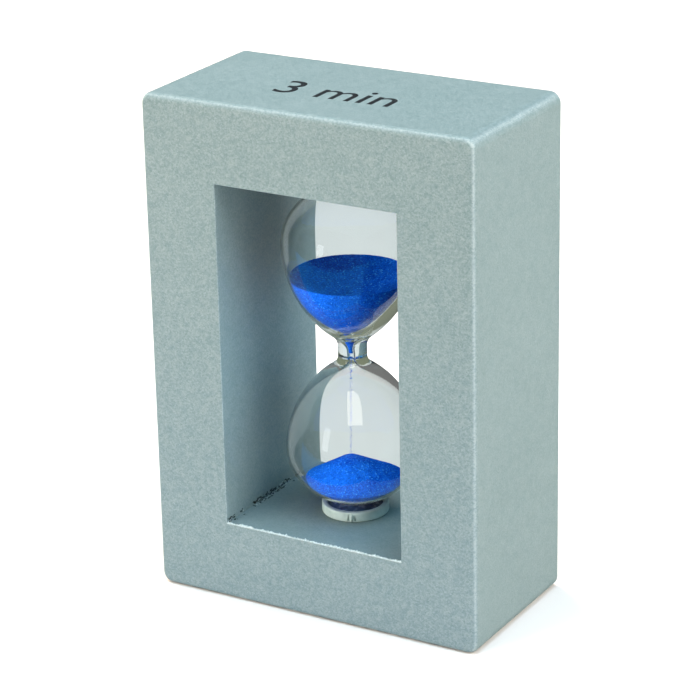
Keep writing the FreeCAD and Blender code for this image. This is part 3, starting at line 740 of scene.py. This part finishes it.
def corner_chip_shade(material):
    """Small near-black specks, painted shade for the gaps where the paint has broken along the joint of the
    left board.
    """
    return scatter_on_joint("corner_chip_shade", material, 1.0, 0.08 * MM, 0.30 * MM)


def corner_flecks(material):
    """Crumbs of paint left standing among the chips, bright with the ridge paint's painted highlight."""
    return scatter_on_joint("corner_flecks", material, 0.35, 0.08 * MM, 0.22 * MM)


# The nib on the cup: how far round from the front it is, how far in from the cup's outside, how
# high its middle is over the cup's foot, and half of its size across, inwards and up.
NIB_TURN = math.radians(23)
NIB_DEPTH = 0.12 * MM
NIB_HEIGHT = 1.0 * MM
NIB_HALF_SIZE = Vector((0.42, 0.30, 0.85)) * MM


def cup_nib(material):
    """The torn nib that moulding left between the two marks on the lower seat cup."""
    low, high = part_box("lower_seat_cup")
    radius = (high.x - low.x) / 2 - NIB_DEPTH
    centre = Vector((AXIS.x + radius * math.sin(NIB_TURN), AXIS.y - radius * math.cos(NIB_TURN),
                     low.z + NIB_HEIGHT))
    round_cup = Matrix.Rotation(NIB_TURN, 3, "Z")
    rows, columns = 18, 24
    vertices, faces = [], []
    for row in range(rows + 1):
        rise = math.pi * row / rows
        for column in range(columns):
            around = 2 * math.pi * column / columns
            way = Vector((math.sin(rise) * math.cos(around), math.sin(rise) * math.sin(around),
                          math.cos(rise)))
            rough = 1 + 0.35 * noise.noise(way * 2.3)
            vertices.append(centre + round_cup @ (way * NIB_HALF_SIZE * rough))
    for row in range(rows):
        for column in range(columns):
            after = (column + 1) % columns
            faces.append((row * columns + column, (row + 1) * columns + column,
                          (row + 1) * columns + after, row * columns + after))
    return give(mesh_object("cup_nib", vertices, faces), material, "cup_plastic")


# ---------------------------------------------------------------- label

LABEL_SIZE = 11.5 * MM
LABEL_PLACE = (-1 * MM, -6.2 * MM)
INK_HALF_THICKNESS = 0.01 * MM


def duration_label(material):
    """The running time in a plain face, printed on the top board."""
    text = bpy.data.curves.new("label_text", "FONT")
    text.body = "3 min"
    text.size = LABEL_SIZE
    text.align_x = "CENTER"
    text.extrude = INK_HALF_THICKNESS
    holder = bpy.data.objects.new("label_text", text)
    bpy.context.scene.collection.objects.link(holder)
    bpy.context.view_layer.update()
    mesh = bpy.data.meshes.new_from_object(holder)
    bpy.data.objects.remove(holder)
    mesh.transform(Matrix.Translation((*LABEL_PLACE, TOP_Z + INK_HALF_THICKNESS)))
    label = bpy.data.objects.new("duration_label", mesh)
    bpy.context.scene.collection.objects.link(label)
    return give(label, material)


# ---------------------------------------------------------------- studio

# The camera, solved from the frame's edges. The lens and the sensor are in millimetres.
AZIMUTH = math.radians(30.494)
ELEVATION = math.radians(20.792)
ROLL = math.radians(-1.206)
DISTANCE = 539.832 * MM
TARGET = Vector((-1.158 * MM, 0, 48.802 * MM))
LENS = 145.53
SENSOR_WIDTH = 36


def camera():
    """The camera, which looks at its target from the front right and above, a little rolled."""
    made = bpy.data.objects.new("camera", bpy.data.cameras.new("camera"))
    made.data.lens = LENS
    made.data.sensor_width = SENSOR_WIDTH
    made.data.clip_start = 0.01
    made.data.clip_end = 20
    back = Vector((
        math.sin(AZIMUTH) * math.cos(ELEVATION),
        -math.cos(AZIMUTH) * math.cos(ELEVATION),
        math.sin(ELEVATION),
    ))
    right = Vector((0, 0, 1)).cross(back).normalized()
    up = back.cross(right)
    turned_right = math.cos(ROLL) * right + math.sin(ROLL) * up
    turned_up = math.cos(ROLL) * up - math.sin(ROLL) * right
    place = TARGET + back * DISTANCE
    made.matrix_world = Matrix((
        (turned_right.x, turned_up.x, back.x, place.x),
        (turned_right.y, turned_up.y, back.y, place.y),
        (turned_right.z, turned_up.z, back.z, place.z),
        (0, 0, 0, 1),
    ))
    bpy.context.scene.collection.objects.link(made)
    bpy.context.scene.camera = made


LIT_POINT = Vector((AXIS.x, 0, 50 * MM))


def panel(name, azimuth, elevation, distance, width, height, radiance, seen_in_glass=False):
    """A soft panel light that faces the middle of the object. It gives plain light, or, if it is
    seen in the glass, reflections only."""
    light = bpy.data.lights.new(name, "AREA")
    light.shape = "RECTANGLE"
    light.size = width
    light.size_y = height
    strongest = max(radiance)
    light.color = [channel / strongest for channel in radiance]
    light.energy = strongest * math.pi * width * height
    made = bpy.data.objects.new(name, light)
    turn, rise = math.radians(azimuth), math.radians(elevation)
    outwards = Vector((
        math.sin(turn) * math.cos(rise),
        -math.cos(turn) * math.cos(rise),
        math.sin(rise),
    ))
    made.location = LIT_POINT + distance * outwards
    made.rotation_euler = (math.radians(90) - rise, 0, turn)
    made.visible_camera = False
    made.visible_glossy = seen_in_glass
    made.visible_diffuse = not seen_in_glass
    made.visible_transmission = False
    bpy.context.scene.collection.objects.link(made)
    return made


def lights_only(lamp, *pieces):
    """Keeps a lamp's light to these pieces."""
    receivers = bpy.data.collections.new(lamp.name + "_receivers")
    for piece in pieces:
        receivers.objects.link(piece)
    lamp.light_linking.receiver_collection = receivers


def window_fill(radiance):
    """A small blue lamp just inside the right board, which faces the left one."""
    off_board = 0.3 * MM
    width = 0.9 * (BACK_Y - FRONT_Y)
    height = 34 * MM
    panel("window_fill", 90, 0, RIGHT_WALL_X - off_board - LIT_POINT.x, width, height, radiance)


def studio_sheet(name, corners, material):
    """A sheet with four corners that belongs to the studio and not to the object."""
    sheet = mesh_object(name, corners, [(0, 1, 2, 3)], smooth=False)
    sheet.data.materials.append(material)
    return sheet


def level_sheet(name, left, right, near, far, height, material):
    """A level rectangle for the studio, from left to right along X and from near to far along Y."""
    corners = [(left, near, height), (right, near, height), (right, far, height), (left, far, height)]
    return studio_sheet(name, corners, material)


def glow_paper(name, straight, mirrored):
    """Paper that glows evenly, with one radiance to a straight look through glass and another to a
    reflection."""
    paper = Finish(name, Roughness=1.0, Specular_IOR_Level=0)
    paper.shader.inputs["Base Color"].default_value = (0, 0, 0, 1)
    paper.set("Emission Color", paper.mix(paper.reflected(), straight, mirrored))
    paper.shader.inputs["Emission Strength"].default_value = 1
    return paper.material


def flag_cloth(name):
    """Black cloth in a reflection, and nothing at all to a straight look."""
    cloth = Finish(name, Roughness=1.0, Specular_IOR_Level=0)
    cloth.shader.inputs["Base Color"].default_value = (0, 0, 0, 1)
    shown = cloth.node("ShaderNodeMixShader")
    cloth.link(cloth.reflected(), shown.inputs[0])
    cloth.link(cloth.node("ShaderNodeBsdfTransparent").outputs[0], shown.inputs[1])
    cloth.link(cloth.shader.outputs[0], shown.inputs[2])
    cloth.link(shown.outputs[0], cloth.output.inputs["Surface"])
    return cloth.material


def seen_only(sheet, mirrored, through):
    """Leaves a studio sheet to light that is mirrored or that came through glass."""
    sheet.visible_camera = False
    sheet.visible_diffuse = False
    sheet.visible_shadow = False
    sheet.visible_glossy = mirrored
    sheet.visible_transmission = through


def studio_floor():
    """White paper under the object. Through glass it looks greyer, and to light that was mirrored
    inside the glass it is pale behind the object, blue in front of it and black elsewhere."""
    paper = Finish("floor_paper", Roughness=0.9)
    paper.shader.inputs["Base Color"].default_value = (0.80, 0.74, 0.70, 1)
    floor = level_sheet("floor", -0.6, 0.6, -0.6, 0.6, 0, paper.material)
    floor.visible_glossy = False
    floor.visible_transmission = False
    grey, blue, black = (0.80, 0.86, 0.87), (0.05, 0.40, 1.0), (0, 0, 0)
    all_round = level_sheet("grey_sweep", -3, 3, -3, 3, -1 * MM, glow_paper("grey_paper", grey, black))
    behind = level_sheet("back_card", -0.6, 0.04, FRONT_Y, 0.6, -0.5 * MM,
                         glow_paper("back_paper", grey, grey))
    before = level_sheet("front_card", -0.4, 0.4, -0.15, FRONT_Y, -0.5 * MM,
                         glow_paper("front_paper", grey, blue))
    seen_only(all_round, mirrored=False, through=True)
    seen_only(behind, mirrored=False, through=True)
    seen_only(before, mirrored=True, through=True)


def flag(name, corners, through):
    """A black sheet that glass sees in its reflections instead of what stands behind it."""
    sheet = studio_sheet(name, corners, flag_cloth(name + "_cloth"))
    seen_only(sheet, mirrored=True, through=through)


def flags():
    """One across the top of the window, which keeps the key lamp out of the upper bulb's
    reflections, and one along the inside of the right board, which keeps the lit board out."""
    y = FRONT_Y + 0.1 * MM
    low = CEILING_Z - 8.7 * MM
    flag("window_flag", [(LEFT_WALL_X, y, low), (RIGHT_WALL_X, y, low),
                         (RIGHT_WALL_X, y, CEILING_Z), (LEFT_WALL_X, y, CEILING_Z)], through=False)
    x = RIGHT_WALL_X - 0.5 * MM
    flag("board_flag", [(x, FRONT_Y, FLOOR_Z), (x, BACK_Y, FLOOR_Z),
                        (x, BACK_Y, CEILING_Z), (x, FRONT_Y, CEILING_Z)], through=True)


def surroundings(seen, through, reflected, ambient, mirrored):
    """A white backdrop to the camera, a greyer one straight through glass and a dim one in what
    the glass reflects, a dim blue room that lights the object and one that shiny surfaces mirror."""
    world = bpy.data.worlds.new("studio")
    bpy.context.scene.world = world
    world.use_nodes = True
    tree = world.node_tree
    tree.nodes.clear()
    path = tree.nodes.new("ShaderNodeLightPath").outputs
    output = tree.nodes.new("ShaderNodeOutputWorld")
    once_reflected = tree.nodes.new("ShaderNodeMath")
    once_reflected.operation = "GREATER_THAN"
    once_reflected.inputs[1].default_value = 0.5
    tree.links.new(path["Glossy Depth"], once_reflected.inputs[0])

    def glow(colour, strength):
        background = tree.nodes.new("ShaderNodeBackground")
        background.inputs["Color"].default_value = (*colour, 1)
        background.inputs["Strength"].default_value = strength
        return background.outputs[0]

    def switch(factor, yes, no):
        mixed = tree.nodes.new("ShaderNodeMixShader")
        tree.links.new(factor, mixed.inputs[0])
        tree.links.new(no, mixed.inputs[1])
        tree.links.new(yes, mixed.inputs[2])
        return mixed.outputs[0]

    white, sky = (1, 1, 1), (0.8, 0.93, 1)
    behind_glass = switch(once_reflected.outputs[0], glow(white, reflected), glow(white, through))
    room = switch(path["Is Diffuse Ray"], glow(sky, ambient), glow(sky, mirrored))
    beyond = switch(path["Is Transmission Ray"], behind_glass, room)
    shown = switch(path["Is Camera Ray"], glow(white, seen), beyond)
    tree.links.new(shown, output.inputs["Surface"])


# ---------------------------------------------------------------- putting it together

def finish_nodes(material, *names):
    """Gives CAD nodes that keep their own shape a finish."""
    for name in names:
        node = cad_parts[name]
        node.data.materials.clear()
        node.data.materials.append(material)
        for polygon in node.data.polygons:
            polygon.material_index = 0


paint = frame_paint()
sand = blue_sand()
ridge_highlight = ridge_highlight_paint()
plastic = cup_plastic()
painted_shade_glue = set_glue()
finish_nodes(paint, "top_board", "bottom_board", "left_board", "right_board")
finish_nodes(dowel_wood(), "corner_dowels")
finish_nodes(stopper_rubber(), "fill_stopper")
finish_nodes(plastic, "lower_seat_cup", "upper_seat_cup")
finish_nodes(painted_shade_glue, "lower_cup_glue", "upper_cup_glue")
glass_vial(clear_glass())
all_sand = (lower_sand(sand), upper_sand(sand), falling_sand(sand))
window_lip(ridge_highlight)
corner_bead(paint)
corner_chip_shade(joint_crack_shade())
corner_flecks(ridge_highlight)
cup_nib(plastic)
duration_label(label_ink())

camera()
studio_floor()
flags()
surroundings(seen=1.0, through=0.8, reflected=0.2, ambient=0.04, mirrored=0.08)
# The lamps: degrees round from the front and up, then distance, width and height, then radiance.
panel("front_left", -35, 10, 0.8, 0.6, 0.6, (8.2, 7.7, 6.9))
panel("right", 90, 20, 0.8, 0.6, 0.6, (9.3, 9.2, 8.9))
panel("overhead", 20, 85, 1.0, 0.8, 0.8, (4.6, 6.3, 7.7))
panel("back_left", -110, 35, 0.9, 0.6, 0.6, (10.8, 9.3, 7.8))
panel("key_glint", 33, 48, 0.9, 0.44, 0.62, (5.2, 4.9, 4.3), seen_in_glass=True)
panel("left_glint", -20, 8, 0.6, 0.12, 0.24, (2.8, 2.9, 3.0), seen_in_glass=True)
window_fill((1.2, 3.0, 4.4))
lights_only(panel("sand_key", -58, 54, 0.8, 0.5, 0.5, (9.5, 10, 10)), *all_sand)
sand_low = panel("sand_low", -54, -22, 0.8, 0.4, 0.4, (8, 8, 9))
sand_low.data.use_shadow = False
lights_only(sand_low, *all_sand)
bpy.context.scene.view_settings.view_transform = "Standard"
